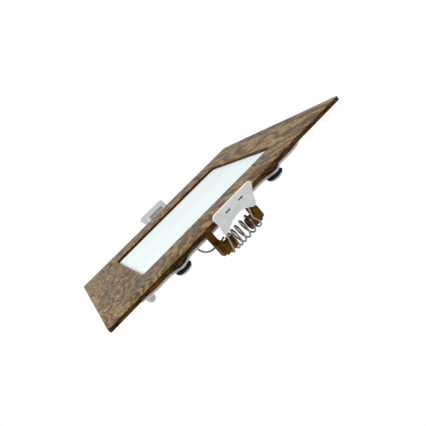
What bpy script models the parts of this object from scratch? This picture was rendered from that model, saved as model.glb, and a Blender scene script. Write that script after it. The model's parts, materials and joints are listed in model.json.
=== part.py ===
"""Square recessed light with a wood-finish bezel and two spring clips.

Frame: origin at the centre of the ceiling seat (the plane of the bezel's rear rim), +Z out of the face,
+X along the clips' hinge axes, and the first clip on the -Y side. Metres.
"""

import math

import bmesh
import bpy
from mathutils import Matrix, Vector

MM = 0.001
GAP = 0.3 * MM  # between touching neighbours

# Bezel: a moulded plate with a decorated face sheet on its front
BEZEL_HALF = 75.0 * MM
SEAT_RIM = 6.6 * MM  # width of the rear rim that bears on the ceiling
LAND_STEP = 0.3 * MM  # the land inside the rim stands this far back
PLATE_FRONT = 1.3 * MM
FACE_SHEET = 0.5 * MM
WINDOW_HALF = 46.8 * MM
WINDOW_RADIUS = 3.0 * MM

# Housing: ring, gasket and cover behind the bezel, with a lobe at each cover screw
HOUSING_HALF = 60.0 * MM
HOUSING_RADIUS = 14.0 * MM
HOUSING_BORE_HALF = 54.0 * MM
BORE_RADIUS = 8.0 * MM
RING_DEPTH = 2.9 * MM
GASKET_THICKNESS = 0.4 * MM
COVER_THICKNESS = 1.5 * MM
LOBE_X = 32.0 * MM
LOBE_OUT = 5.8 * MM
LOBE_HALF_LENGTH = 7.5 * MM
SCREW_Y = 61.4 * MM

# Light stack inside the housing
DIFFUSER_FLANGE_HALF = 50.4 * MM
DIFFUSER_FLANGE = 0.9 * MM
DIFFUSER_RISE = 0.4 * MM
GUIDE_HALF = 49.4 * MM
GUIDE_THICKNESS = 1.4 * MM
REFLECTOR_HALF = 52.6 * MM
REFLECTOR_THICKNESS = 0.2 * MM
LED_COUNT = 6  # on each of the two strips
LED_SIZE = Vector((1.0, 2.8, 1.2)) * MM
STRIP_SIZE = Vector((0.8, 92.0, 1.5)) * MM

# Cover screws, washers and inserts
WASHER_R = 4.5 * MM
WASHER_THICKNESS = 1.2 * MM
SHANK_R = 1.7 * MM
CLEARANCE_R = 2.2 * MM
HEAD_R = 3.9 * MM
HEAD_HEIGHT = 1.6 * MM
INSERT_R = 2.8 * MM
INSERT_LENGTH = 1.8 * MM
INSERT_POCKET = 2.2 * MM

# Each clip's bracket and clip are centred a little to the left of the bezel's own centre line
CLIP_X = -1.2 * MM
CLIP_AXIS_Y = 65.5 * MM
CLIP_AXIS_Z = -13.2 * MM

# Clip bracket arms, moulded with the ring. Each is a leg with a lug at its end that carries a boss.
# Distances out from the housing's centre line, except the heights.
ARM_INNER = 10.1 * MM
ARM_WIDTH = 3.6 * MM
ARM_REAR = 61.5 * MM
ARM_LEG_FRONT = 63.7 * MM
ARM_LUG_FRONT = 68.0 * MM
ARM_LUG_TOP_Z = -8.3 * MM
ARM_END_Z = -15.6 * MM
ARM_END_RADIUS = 2.4 * MM
BOSS_R = 3.2 * MM
BOSS_LENGTH = 5.0 * MM

# Clip: spring wire and nylon paddle, in the clip's own frame. The hinge axis is the frame's X axis,
# the legs run along its +Z, and CLIP_TILT leans them outward from the bezel's +Z.
CLIP_TILT = math.radians(37.0)
WIRE_R = 0.45 * MM
COIL_R = 4.35 * MM
COIL_RIGHT = 9.35 * MM
COIL_TURNS = 5.5
COIL_PITCH = 4.25 * MM  # at the right end; each turn is closer to the next toward the left
COIL_TIGHTENING = 0.25 * MM
EYE_TURN = math.radians(200.0)
EYE_R = 3.95 * MM
LEFT_LEG_X = -9.0 * MM
RIGHT_LEG_X = 6.2 * MM
LEG_BEND_Z = 9.0 * MM  # where the right leg leans out to the coil
CROSSBAR_Z = 24.2 * MM
CROSSBAR_BEND = 2.0 * MM
PADDLE_OUTER = 5.6 * MM  # from the hinge axis to the paddle's outer face
PADDLE_THICKNESS = 0.9 * MM
PADDLE_RIB = 0.4 * MM  # wall round the wire's tunnel
PADDLE_TOP_HALF = 11.8 * MM
PADDLE_WAIST_HALF = 10.7 * MM
PADDLE_FOOT_HALF = 10.3 * MM
PADDLE_FOOT_Z = 14.0 * MM
PADDLE_WAIST_Z = 23.0 * MM
PADDLE_TOP_Z = 28.7 * MM
PADDLE_CORNER = 2.4 * MM
ARCH_HALF = 8.0 * MM
ARCH_TOP_Z = 18.5 * MM
SLOT_X = 3.95 * MM
SLOT_SIZE = Vector((2.8, 3.0, 1.2)) * MM
TAIL_RUN_Y = 60.5 * MM
TAIL_RUN_Z = -10.6 * MM
TAIL_HOLE_X = -19.1 * MM
TAIL_HOLE_Y = 57.6 * MM
TAIL_HOLE_R = 0.9 * MM
TAIL_LOOP_R = 4.8 * MM

# Lead gland on the cover's rear
GLAND_X = -51.9 * MM
GLAND_Y = -46.0 * MM
GLAND_LENGTH = 9.0 * MM
GLAND_R = 2.2 * MM
GLAND_BORE_R = 1.2 * MM
LEAD_HOLE_Y = -36.0 * MM

# Heights of the stack, from the seat plane down
RING_TOP = 0.0
RING_BOTTOM = RING_TOP - RING_DEPTH
GASKET_TOP = RING_BOTTOM - GAP
GASKET_BOTTOM = GASKET_TOP - GASKET_THICKNESS
COVER_TOP = GASKET_BOTTOM - GAP
COVER_BOTTOM = COVER_TOP - COVER_THICKNESS
WASHER_TOP = COVER_BOTTOM - GAP
WASHER_BOTTOM = WASHER_TOP - WASHER_THICKNESS
HEAD_TOP = WASHER_BOTTOM - GAP
FLANGE_TOP = 0.0
GUIDE_TOP = FLANGE_TOP - DIFFUSER_FLANGE - GAP
REFLECTOR_TOP = GUIDE_TOP - GUIDE_THICKNESS - GAP

ROUND_SEGMENTS = 20


def clear_scene():
    for existing in list(bpy.data.objects):
        bpy.data.objects.remove(existing, do_unlink=True)


def material(name, colour, roughness, metallic=0.0):
    made = bpy.data.materials.new(name)
    made.use_nodes = True
    shader = made.node_tree.nodes["Principled BSDF"]
    shader.inputs["Base Color"].default_value = (*colour, 1.0)
    shader.inputs["Roughness"].default_value = roughness
    shader.inputs["Metallic"].default_value = metallic
    made.diffuse_color = (*colour, 1.0)
    return made


def add_object(name, data, surface, smooth=False):
    """Links data as a new object; a round piece is shaded smooth."""
    made = bpy.data.objects.new(name, data)
    bpy.context.scene.collection.objects.link(made)
    if surface is not None:
        data.materials.append(surface)
    if smooth:
        data.shade_smooth()
        data.set_sharp_from_angle(angle=math.radians(40.0))
    return made


def mesh_from(bm, name):
    bmesh.ops.recalc_face_normals(bm, faces=bm.faces)
    mesh = bpy.data.meshes.new(name)
    bm.to_mesh(mesh)
    bm.free()
    return mesh


def rounded_square(half, radius, steps=6):
    """Corner arcs of a square outline, counter-clockwise."""
    points = []
    for quarter in range(4):
        middle = math.radians(45.0 + 90.0 * quarter)
        inset = half - radius
        centre = Vector((math.copysign(inset, math.cos(middle)), math.copysign(inset, math.sin(middle))))
        for step in range(steps + 1):
            angle = math.radians(90.0 * quarter + 90.0 * step / steps)
            points.append(centre + radius * Vector((math.cos(angle), math.sin(angle))))
    return points


def circle(centre, radius, segments=ROUND_SEGMENTS):
    turn = 2.0 * math.pi / segments
    return [centre + radius * Vector((math.cos(turn * k), math.sin(turn * k))) for k in range(segments)]


def lobe_offset(x):
    """How far the housing's outline swells outward at x, on its two clip sides."""
    reach = abs(abs(x) - LOBE_X) / LOBE_HALF_LENGTH
    return LOBE_OUT * (0.5 + 0.5 * math.cos(math.pi * reach)) if reach < 1.0 else 0.0


def housing_outline():
    """The housing's outline: a rounded square with a lobe round each cover screw."""
    corners = rounded_square(HOUSING_HALF, HOUSING_RADIUS)
    per_corner = len(corners) // 4
    lobe_steps = 12
    lobe_xs = []
    for side in (-1.0, 1.0):
        for step in range(lobe_steps + 1):
            reach = 2.0 * step / lobe_steps - 1.0
            lobe_xs.append(side * LOBE_X + reach * LOBE_HALF_LENGTH)
    far_side = [Vector((x, HOUSING_HALF + lobe_offset(x))) for x in sorted(lobe_xs, reverse=True)]
    near_side = [Vector((x, -HOUSING_HALF - lobe_offset(x))) for x in sorted(lobe_xs)]
    return (
        corners[:per_corner] + far_side
        + corners[per_corner:3 * per_corner] + near_side
        + corners[3 * per_corner:]
    )


def screw_places():
    return [Vector((sx * LOBE_X, sy * SCREW_Y)) for sx in (-1.0, 1.0) for sy in (-1.0, 1.0)]


def plate_bmesh(loops, low, high):
    """A flat plate between two heights. The first loop is its outline and the rest are holes."""
    bm = bmesh.new()
    for loop in loops:
        verts = [bm.verts.new((point.x, point.y, low)) for point in loop]
        for first, second in zip(verts, verts[1:] + verts[:1]):
            bm.edges.new((first, second))
    bmesh.ops.triangle_fill(bm, use_beauty=True, edges=bm.edges[:])
    raised = bmesh.ops.extrude_face_region(bm, geom=bm.faces[:])["geom"]
    raised_verts = [item for item in raised if isinstance(item, bmesh.types.BMVert)]
    bmesh.ops.translate(bm, verts=raised_verts, vec=(0.0, 0.0, high - low))
    return bm


def plate(name, loops, low, high, surface):
    return add_object(name, mesh_from(plate_bmesh(loops, low, high), name), surface, smooth=True)


def box_object(name, centre, size, surface):
    bm = bmesh.new()
    bmesh.ops.create_cube(bm, size=1.0, matrix=Matrix.Diagonal((*size, 1.0)))
    made = add_object(name, mesh_from(bm, name), surface)
    made.location = centre
    return made


def lathe(name, profile, surface, segments=ROUND_SEGMENTS):
    """Turns a closed (radius, height) profile about Z. Points on the axis close the ends."""
    bm = bmesh.new()
    verts = [bm.verts.new((radius, 0.0, height)) for radius, height in profile]
    edges = [bm.edges.new(pair) for pair in zip(verts, verts[1:])]
    if profile[0][0] > 0.0:
        edges.append(bm.edges.new((verts[-1], verts[0])))
    bmesh.ops.spin(bm, geom=verts + edges, cent=(0, 0, 0), axis=(0, 0, 1), angle=2.0 * math.pi,
                   steps=segments, use_merge=True)
    bmesh.ops.remove_doubles(bm, verts=bm.verts, dist=1e-6)
    return add_object(name, mesh_from(bm, name), surface, smooth=True)


def wire_object(name, points, radius, surface, sides=8):
    """A round wire through the points, with closed ends. Its section turns with the path without twisting."""
    bm = bmesh.new()
    normal = None
    rings = []
    for index, point in enumerate(points):
        before = points[max(index - 1, 0)]
        after = points[min(index + 1, len(points) - 1)]
        along = (after - before).normalized()
        if normal is None:
            normal = along.orthogonal().normalized()
        normal = (normal - along * normal.dot(along)).normalized()
        across = along.cross(normal)
        ring = []
        for step in range(sides):
            angle = 2.0 * math.pi * step / sides
            ring.append(bm.verts.new(point + radius * (math.cos(angle) * normal + math.sin(angle) * across)))
        rings.append(ring)
    for lower, upper in zip(rings, rings[1:]):
        for side in range(sides):
            following = (side + 1) % sides
            bm.faces.new((lower[side], lower[following], upper[following], upper[side]))
    bm.faces.new(rings[0][::-1])
    bm.faces.new(rings[-1])
    return add_object(name, mesh_from(bm, name), surface, smooth=True)


def hide_tool(tool):
    """A Boolean's operand isn't a piece of the object."""
    tool.hide_render = True
    tool.display_type = "WIRE"
    return tool


def boolean(target, tool, operation):
    modifier = target.modifiers.new(tool.name, "BOOLEAN")
    modifier.operation = operation
    modifier.object = hide_tool(tool)
    return target


def make_bezel(surfaces):
    """The face sheet, and the plate behind it with its raised seat rim."""
    outline = rounded_square(BEZEL_HALF, 0.6 * MM, steps=2)
    window = rounded_square(WINDOW_HALF, WINDOW_RADIUS, steps=6)
    sheet_low = PLATE_FRONT + GAP
    plate("face_sheet", [outline, window], sheet_low, sheet_low + FACE_SHEET, surfaces["wood"])
    bezel = plate("bezel_plate", [outline, window], 0.0, PLATE_FRONT, surfaces["brown"])
    land = rounded_square(BEZEL_HALF - SEAT_RIM, 1.0 * MM, steps=2)
    cutter = plate("land_cutter", [land], -1.0 * MM, LAND_STEP, None)
    boolean(bezel, cutter, "DIFFERENCE")


def arm_profile():
    """An arm's side view, as (distance out, height): the foot into the ring, the leg, and the lug."""
    top = RING_TOP - 0.15 * MM
    foot_low = RING_BOTTOM + 0.15 * MM
    foot_in = HOUSING_HALF - 1.0 * MM
    points = [(foot_in, foot_low), (ARM_REAR, foot_low), (ARM_REAR, ARM_END_Z)]
    for step in range(7):
        angle = math.radians(-90.0 + 15.0 * step)
        points.append((ARM_LUG_FRONT + ARM_END_RADIUS * (math.cos(angle) - 1.0),
                       ARM_END_Z + ARM_END_RADIUS * (math.sin(angle) + 1.0)))
    points += [(ARM_LUG_FRONT, ARM_LUG_TOP_Z - 1.0 * MM), (ARM_LUG_FRONT - 1.0 * MM, ARM_LUG_TOP_Z),
               (ARM_LEG_FRONT + 1.2 * MM, ARM_LUG_TOP_Z), (ARM_LEG_FRONT, ARM_LUG_TOP_Z + 1.2 * MM),
               (ARM_LEG_FRONT, top - 0.8 * MM), (ARM_LEG_FRONT - 0.8 * MM, top), (foot_in, top)]
    return [Vector(point) for point in points]


def make_arm(side, sign, holder):
    """One bracket arm and the boss on its inner face, as tools for the ring's union."""
    name = f"arm_tool_{side}_{'left' if sign < 0 else 'right'}"
    inner = sign * ARM_INNER
    outer = sign * (ARM_INNER + ARM_WIDTH)
    bm = plate_bmesh([arm_profile()], min(inner, outer), max(inner, outer))
    # The profile's plane becomes the side view, with its thickness along X
    to_side_view = Matrix(((0.0, 0.0, 1.0, 0.0), (-1.0, 0.0, 0.0, 0.0),
                           (0.0, 1.0, 0.0, 0.0), (0.0, 0.0, 0.0, 1.0)))
    bmesh.ops.transform(bm, matrix=to_side_view, verts=bm.verts)
    arm = add_object(name, mesh_from(bm, name), None)
    root = ARM_WIDTH / 2.0
    chamfer = 0.4 * MM
    length = BOSS_LENGTH + root
    boss_profile = [(0.0, 0.0), (BOSS_R, 0.0), (BOSS_R, length - chamfer),
                    (BOSS_R - chamfer, length), (0.0, length)]
    boss = lathe(name + "_boss", boss_profile, None)
    boss.location = (inner + sign * root, -CLIP_AXIS_Y, CLIP_AXIS_Z)
    boss.rotation_euler = (0.0, math.radians(-90.0 * sign), 0.0)
    arm.parent = holder
    boss.parent = holder
    return [arm, boss]


def clip_holder(side):
    """An empty at the middle of one clip's side. The far side is the near one turned half round."""
    turn = 0.0 if side == "near" else math.pi
    holder = bpy.data.objects.new(f"clip_side_{side}", None)
    bpy.context.scene.collection.objects.link(holder)
    holder.location = Matrix.Rotation(turn, 4, "Z") @ Vector((CLIP_X, 0.0, 0.0))
    holder.rotation_euler = (0.0, 0.0, turn)
    return holder


def make_ring(surfaces, holders):
    """The housing ring, with the four bracket arms moulded on, and the insert pockets."""
    bore = rounded_square(HOUSING_BORE_HALF, BORE_RADIUS)
    ring = plate("housing_ring", [housing_outline(), bore], RING_BOTTOM, RING_TOP, surfaces["brown"])
    pocket_r = INSERT_R + GAP
    overrun = 1.0 * MM
    pocket_profile = [(0.0, -overrun), (pocket_r, -overrun), (pocket_r, INSERT_POCKET), (0.0, INSERT_POCKET)]
    for number, place in enumerate(screw_places()):
        pocket = lathe(f"pocket_tool_{number}", pocket_profile, None)
        pocket.location = (place.x, place.y, RING_BOTTOM)
        boolean(ring, pocket, "DIFFERENCE")
    for side, holder in holders.items():
        for sign in (-1.0, 1.0):
            for tool in make_arm(side, sign, holder):
                boolean(ring, tool, "UNION")


def tail_holes():
    near = Vector((CLIP_X + TAIL_HOLE_X, -TAIL_HOLE_Y))
    return [circle(place, TAIL_HOLE_R, 10) for place in (near, -near)]


def make_cover(surfaces):
    """The gasket and the rear cover, with their screw, spring and lead holes."""
    screw_holes = [circle(place, CLEARANCE_R) for place in screw_places()]
    bore = rounded_square(HOUSING_BORE_HALF, BORE_RADIUS)
    gasket_holes = [circle(place, INSERT_R + GAP) for place in screw_places()]
    gasket_loops = [housing_outline(), bore] + gasket_holes
    plate("cover_gasket", gasket_loops, GASKET_BOTTOM, GASKET_TOP, surfaces["black"])
    lead_hole = circle(Vector((GLAND_X, LEAD_HOLE_Y)), 1.5 * MM, 12)
    holes = screw_holes + tail_holes() + [lead_hole]
    plate("rear_cover", [housing_outline()] + holes, COVER_BOTTOM, COVER_TOP, surfaces["grey"])


def make_light_stack(surfaces):
    """Diffuser, light guide, reflector, and the two LED strips that light the guide's edges."""
    flange = rounded_square(DIFFUSER_FLANGE_HALF, 2.0 * MM, steps=3)
    diffuser = plate("diffuser", [flange], FLANGE_TOP - DIFFUSER_FLANGE, FLANGE_TOP, surfaces["opal"])
    raised = rounded_square(WINDOW_HALF - GAP, WINDOW_RADIUS - GAP / 2.0, steps=6)
    panel_foot = FLANGE_TOP - DIFFUSER_FLANGE / 2.0
    panel = plate("diffuser_panel_tool", [raised], panel_foot, FLANGE_TOP + DIFFUSER_RISE, None)
    boolean(diffuser, panel, "UNION")
    guide = rounded_square(GUIDE_HALF, 1.0 * MM, steps=2)
    plate("light_guide", [guide], GUIDE_TOP - GUIDE_THICKNESS, GUIDE_TOP, surfaces["clear"])
    sheet = rounded_square(REFLECTOR_HALF, 7.0 * MM, steps=4)
    plate("reflector_sheet", [sheet], REFLECTOR_TOP - REFLECTOR_THICKNESS, REFLECTOR_TOP, surfaces["white"])
    middle = GUIDE_TOP - GUIDE_THICKNESS / 2.0
    led_x = GUIDE_HALF + GAP + LED_SIZE.x / 2.0
    strip_x = led_x + LED_SIZE.x / 2.0 + GAP + STRIP_SIZE.x / 2.0
    pitch = STRIP_SIZE.y / LED_COUNT
    for side, sign in (("left", -1.0), ("right", 1.0)):
        box_object(f"led_strip_{side}", (sign * strip_x, 0.0, middle), STRIP_SIZE, surfaces["board"])
        for number in range(LED_COUNT):
            place = (sign * led_x, (number - (LED_COUNT - 1) / 2.0) * pitch, middle)
            box_object(f"led_{side}_{number + 1}", place, LED_SIZE, surfaces["led"])


def make_fasteners(surfaces):
    """A screw, a rubber washer and a threaded insert at each lobe."""
    screw_top = RING_BOTTOM + INSERT_LENGTH - HEAD_TOP
    dome = [(HEAD_R * math.cos(angle), -HEAD_HEIGHT * math.sin(angle))
            for angle in (math.radians(15.0 * step) for step in range(1, 6))]
    shank = [(HEAD_R, 0.0), (SHANK_R, 0.0), (SHANK_R, screw_top), (0.0, screw_top)]
    screw_profile = [(0.0, -HEAD_HEIGHT)] + dome[::-1] + shank
    washer_profile = [(CLEARANCE_R, 0.0), (WASHER_R - 0.3 * MM, 0.0), (WASHER_R, 0.3 * MM),
                      (WASHER_R, WASHER_THICKNESS - 0.3 * MM), (WASHER_R - 0.3 * MM, WASHER_THICKNESS),
                      (CLEARANCE_R, WASHER_THICKNESS)]
    bore = SHANK_R + GAP
    insert_profile = [(bore, 0.0), (INSERT_R, 0.0), (INSERT_R, INSERT_LENGTH), (bore, INSERT_LENGTH)]
    for number, place in enumerate(screw_places(), start=1):
        screw = lathe(f"cover_screw_{number}", screw_profile, surfaces["steel"])
        screw.location = (place.x, place.y, HEAD_TOP)
        washer = lathe(f"screw_washer_{number}", washer_profile, surfaces["black"])
        washer.location = (place.x, place.y, WASHER_BOTTOM)
        insert = lathe(f"threaded_insert_{number}", insert_profile, surfaces["brass"])
        insert.location = (place.x, place.y, RING_BOTTOM + 0.1 * MM)


def make_gland(surfaces):
    """The lead gland, a short tube along Y on the cover's rear, with a pad under it."""
    half = GLAND_LENGTH / 2.0
    profile = [(GLAND_BORE_R, -half), (GLAND_R - 0.5 * MM, -half), (GLAND_R, -half + 0.6 * MM),
               (GLAND_R, half), (GLAND_BORE_R, half)]
    gland = lathe("lead_gland", profile, surfaces["grey"])
    centre_z = COVER_BOTTOM - GAP - GLAND_R - 0.1 * MM
    gland.location = (GLAND_X, GLAND_Y, centre_z)
    gland.rotation_euler = (math.radians(-90.0), 0.0, 0.0)
    pad_size = Vector((3.4, 6.0, 1.0)) * MM
    pad_place = (GLAND_X, GLAND_Y, COVER_BOTTOM - GAP - pad_size.z / 2.0)
    pad = box_object("gland_pad_tool", pad_place, pad_size, None)
    boolean(gland, pad, "UNION")


def around_axis(x, angle, radius=COIL_R):
    """A point at x and at an angle round the X axis, from +Y toward +Z."""
    return Vector((x, radius * math.cos(angle), radius * math.sin(angle)))


def bail_points(left_low, right_low):
    """The legs and the crossbar between them, from the left leg's lower end to the right leg's."""
    points = [Vector((LEFT_LEG_X, -COIL_R, left_low))]
    for leg_x, first, inward in ((LEFT_LEG_X, 180.0, 1.0), (RIGHT_LEG_X, 90.0, -1.0)):
        centre = Vector((leg_x + inward * CROSSBAR_BEND, -COIL_R, CROSSBAR_Z - CROSSBAR_BEND))
        for step in range(5):
            angle = math.radians(first - 90.0 * step / 4.0)
            points.append(centre + CROSSBAR_BEND * Vector((math.cos(angle), 0.0, math.sin(angle))))
    return points + [Vector((RIGHT_LEG_X, -COIL_R, right_low))]


def coil_x(turns):
    """Where the coil's wire is along the hinge axis, after a number of turns from its right end."""
    return COIL_RIGHT - COIL_PITCH * turns + COIL_TIGHTENING * turns ** 2


def spring_points():
    """One wire: an eye round the left boss, the bail, then the coil from right to left."""
    eye_steps = 9
    eye = []
    for step in range(eye_steps + 1):
        eye.append(around_axis(LEFT_LEG_X, math.pi + EYE_TURN * (1.0 - step / eye_steps), EYE_R))
    coil_steps = int(16 * COIL_TURNS)
    coil = []
    for step in range(coil_steps + 1):
        turns = COIL_TURNS * step / coil_steps
        coil.append(around_axis(coil_x(turns), math.pi + 2.0 * math.pi * turns))
    return eye + bail_points(LEG_BEND_Z, LEG_BEND_Z) + coil


def arch_z(x):
    """Height of the paddle's lower edge between its feet."""
    return ARCH_TOP_Z - (ARCH_TOP_Z - PADDLE_FOOT_Z) * (x / ARCH_HALF) ** 2


def paddle_outline():
    """The nylon paddle's outline in its own plane: x across, y up along the legs."""
    right = []
    centre = Vector((PADDLE_TOP_HALF - PADDLE_CORNER, PADDLE_TOP_Z - PADDLE_CORNER))
    for step in range(6):
        angle = math.radians(90.0 - 90.0 * step / 5.0)
        right.append(centre + PADDLE_CORNER * Vector((math.cos(angle), math.sin(angle))))
    right.append(Vector((PADDLE_TOP_HALF - 0.2 * MM, PADDLE_TOP_Z - PADDLE_CORNER - 1.0 * MM)))
    right.append(Vector((PADDLE_WAIST_HALF, PADDLE_WAIST_Z)))
    right.append(Vector((PADDLE_FOOT_HALF, PADDLE_FOOT_Z + 1.2 * MM)))
    right.append(Vector((PADDLE_FOOT_HALF - 0.8 * MM, PADDLE_FOOT_Z)))
    left = [Vector((-point.x, point.y)) for point in reversed(right)]
    arch_steps = 10
    arch = []
    for step in range(arch_steps + 1):
        x = ARCH_HALF - 2.0 * ARCH_HALF * step / arch_steps
        arch.append(Vector((x, arch_z(x))))
    return right + arch + left


def make_paddle(side, pivot, surfaces):
    """The paddle: a thin plate, a rib along the wire on its inner face, and two slots that show the wire."""
    name = f"clip_paddle_{side}"
    bm = plate_bmesh([paddle_outline()], PADDLE_OUTER - PADDLE_THICKNESS, PADDLE_OUTER)
    bmesh.ops.transform(bm, matrix=Matrix.Rotation(math.radians(90.0), 4, "X"), verts=bm.verts)
    paddle = add_object(name, mesh_from(bm, name), surfaces["nylon"], smooth=True)
    rib_path = bail_points(PADDLE_FOOT_Z + 0.3 * MM, arch_z(RIGHT_LEG_X) + 0.3 * MM)
    tunnel_path = bail_points(LEG_BEND_Z + WIRE_R, LEG_BEND_Z + WIRE_R)
    rib = wire_object(name + "_rib_tool", rib_path, WIRE_R + GAP + PADDLE_RIB, None)
    tunnel = wire_object(name + "_tunnel_tool", tunnel_path, WIRE_R + GAP, None)
    boolean(paddle, rib, "UNION")
    cutters = [tunnel]
    for sign in (-1.0, 1.0):
        place = (sign * SLOT_X, -PADDLE_OUTER, CROSSBAR_Z + 0.4 * MM)
        side = "left" if sign < 0 else "right"
        cutters.append(box_object(f"{name}_slot_tool_{side}", place, SLOT_SIZE, None))
    for cutter in cutters:
        boolean(paddle, cutter, "DIFFERENCE")
    for piece in [paddle, rib] + cutters:
        piece.parent = pivot


def tail_points():
    """The fixed end of the spring wire: past the rear of the left arm, then round into the cover's hole."""
    start = around_axis(coil_x(COIL_TURNS), CLIP_TILT, COIL_R + 2.0 * WIRE_R + GAP)
    points = [start + Vector((0.0, -CLIP_AXIS_Y, CLIP_AXIS_Z)),
              Vector((LEFT_LEG_X, -TAIL_RUN_Y, TAIL_RUN_Z))]
    loop_centre = Vector((TAIL_HOLE_X + TAIL_LOOP_R, 0.0, TAIL_RUN_Z + TAIL_LOOP_R))
    loop_steps = 8
    for step in range(loop_steps + 1):
        part = step / loop_steps
        angle = math.radians(-90.0 - 90.0 * part)
        y = -TAIL_RUN_Y + (TAIL_RUN_Y - TAIL_HOLE_Y) * part
        points.append(Vector((loop_centre.x + TAIL_LOOP_R * math.cos(angle), y,
                              loop_centre.z + TAIL_LOOP_R * math.sin(angle))))
    return points + [Vector((TAIL_HOLE_X, -TAIL_HOLE_Y, COVER_BOTTOM + COVER_THICKNESS / 2.0))]


def make_clip(side, holder, surfaces):
    """One spring clip. Its moving pieces hang on an empty that lies on the hinge axis."""
    pivot = bpy.data.objects.new(f"clip_pivot_{side}", None)
    bpy.context.scene.collection.objects.link(pivot)
    pivot.parent = holder
    pivot.location = (0.0, -CLIP_AXIS_Y, CLIP_AXIS_Z)
    pivot.rotation_euler = (CLIP_TILT, 0.0, 0.0)
    spring = wire_object(f"clip_spring_{side}", spring_points(), WIRE_R, surfaces["spring"])
    spring.parent = pivot
    make_paddle(side, pivot, surfaces)
    tail = wire_object(f"spring_tail_{side}", tail_points(), WIRE_R, surfaces["spring"])
    tail.parent = holder


def main():
    clear_scene()
    surfaces = {
        "wood": material("wood_film", (0.25, 0.15, 0.085), 0.45),
        "brown": material("brown_plastic", (0.12, 0.045, 0.01), 0.4),
        "opal": material("opal_acrylic", (0.78, 0.88, 0.88), 0.35),
        "clear": material("clear_acrylic", (0.85, 0.9, 0.92), 0.1),
        "white": material("white_film", (0.9, 0.9, 0.9), 0.6),
        "board": material("led_board", (0.85, 0.85, 0.8), 0.5),
        "led": material("led_package", (0.9, 0.8, 0.3), 0.4),
        "grey": material("grey_plastic", (0.5, 0.53, 0.56), 0.45),
        "black": material("black_rubber", (0.01, 0.012, 0.016), 0.6),
        "steel": material("zinc_steel", (0.45, 0.5, 0.52), 0.35, 1.0),
        "brass": material("brass", (0.8, 0.6, 0.3), 0.35, 1.0),
        "spring": material("spring_steel", (0.12, 0.11, 0.1), 0.35, 1.0),
        "nylon": material("nylon", (0.68, 0.72, 0.7), 0.4),
    }
    make_bezel(surfaces)
    holders = {side: clip_holder(side) for side in ("near", "far")}
    make_ring(surfaces, holders)
    make_cover(surfaces)
    make_light_stack(surfaces)
    make_fasteners(surfaces)
    make_gland(surfaces)
    for side, holder in holders.items():
        make_clip(side, holder, surfaces)


main()
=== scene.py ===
"""A slim square recessed light with a wood-finish face and two sprung clips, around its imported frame.

The frame: origin at the centre of the bezel's seat plane, +Z out of the lit face, X along the clips'
hinge axes.
"""

import json
import math

import bmesh
import bpy
from mathutils import Euler, Matrix, Vector


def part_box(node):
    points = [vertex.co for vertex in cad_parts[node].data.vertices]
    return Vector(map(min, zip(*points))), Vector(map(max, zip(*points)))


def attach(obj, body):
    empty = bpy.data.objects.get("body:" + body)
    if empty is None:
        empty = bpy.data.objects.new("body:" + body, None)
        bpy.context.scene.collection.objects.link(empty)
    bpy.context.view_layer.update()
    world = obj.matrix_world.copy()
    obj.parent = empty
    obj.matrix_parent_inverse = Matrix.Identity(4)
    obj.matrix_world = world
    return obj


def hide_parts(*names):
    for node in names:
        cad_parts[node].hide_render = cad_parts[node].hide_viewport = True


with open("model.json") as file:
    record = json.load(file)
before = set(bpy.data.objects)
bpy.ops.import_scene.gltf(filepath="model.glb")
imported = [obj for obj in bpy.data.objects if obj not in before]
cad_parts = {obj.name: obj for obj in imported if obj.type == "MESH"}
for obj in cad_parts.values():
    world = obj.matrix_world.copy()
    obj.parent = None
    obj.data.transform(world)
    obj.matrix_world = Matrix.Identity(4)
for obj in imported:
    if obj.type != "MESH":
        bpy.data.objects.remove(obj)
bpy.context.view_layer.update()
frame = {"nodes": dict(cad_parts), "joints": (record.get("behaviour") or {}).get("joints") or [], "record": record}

MM = 0.001

# Heights and half-widths that the frame gives
SHEET_LOW, SHEET_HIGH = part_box("face_sheet")
PLATE_LOW, PLATE_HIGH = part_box("bezel_plate")
COVER_LOW, COVER_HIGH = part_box("rear_cover")
RING_LOW, RING_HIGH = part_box("housing_ring")
GLAND_LOW, GLAND_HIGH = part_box("lead_gland")
SCREW_LOW, SCREW_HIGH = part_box("cover_screw_1")
WASHER_LOW, WASHER_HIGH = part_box("screw_washer_1")
GASKET_LOW, GASKET_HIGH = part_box("cover_gasket")
BEZEL_HALF = PLATE_HIGH.x
FACE_Z = SHEET_HIGH.z
SCREW_X = abs(SCREW_LOW.x + SCREW_HIGH.x) / 2.0
SCREW_Y = abs(SCREW_LOW.y + SCREW_HIGH.y) / 2.0
HOUSING_HALF = RING_HIGH.x
RING_TOP = 0.0
RING_BOTTOM = GASKET_HIGH.z + 0.3 * MM

# Bezel
WINDOW_HALF = 46.8 * MM
WINDOW_RADIUS = 3.0 * MM
SEAT_RIM = 6.6 * MM
LAND_STEP = 0.3 * MM
EDGE_ROUND = 0.3 * MM

# Dark edge of the bezel, and the warm colour of the painted highlights streaked along it
DARK_EDGE = (0.016, 0.0052, 0.0006)
PAINTED_EDGE_HIGHLIGHT = (0.165, 0.062, 0.0022)

# Housing outline
HOUSING_RADIUS = 14.0 * MM
BORE_HALF = 54.0 * MM
BORE_RADIUS = 8.0 * MM
LOBE_OUT = 5.8 * MM
LOBE_HALF_LENGTH = 7.5 * MM
OUTLINE_POINTS = 560

# Bracket arms
ARM_INNER = 10.1 * MM
ARM_WIDTH = 3.6 * MM
ARM_REAR = 61.5 * MM
ARM_LEG_FRONT = 63.7 * MM
ARM_LUG_FRONT = 68.0 * MM
ARM_LUG_TOP_Z = -8.3 * MM
ARM_END_Z = -15.6 * MM
ARM_END_RADIUS = 2.4 * MM
ARM_LUG_RADIUS = 1.2 * MM
ARM_FILLET = 1.4 * MM
ARM_ROUND = 0.35 * MM
BOSS_R = 3.2 * MM
BOSS_LENGTH = 5.0 * MM

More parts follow.
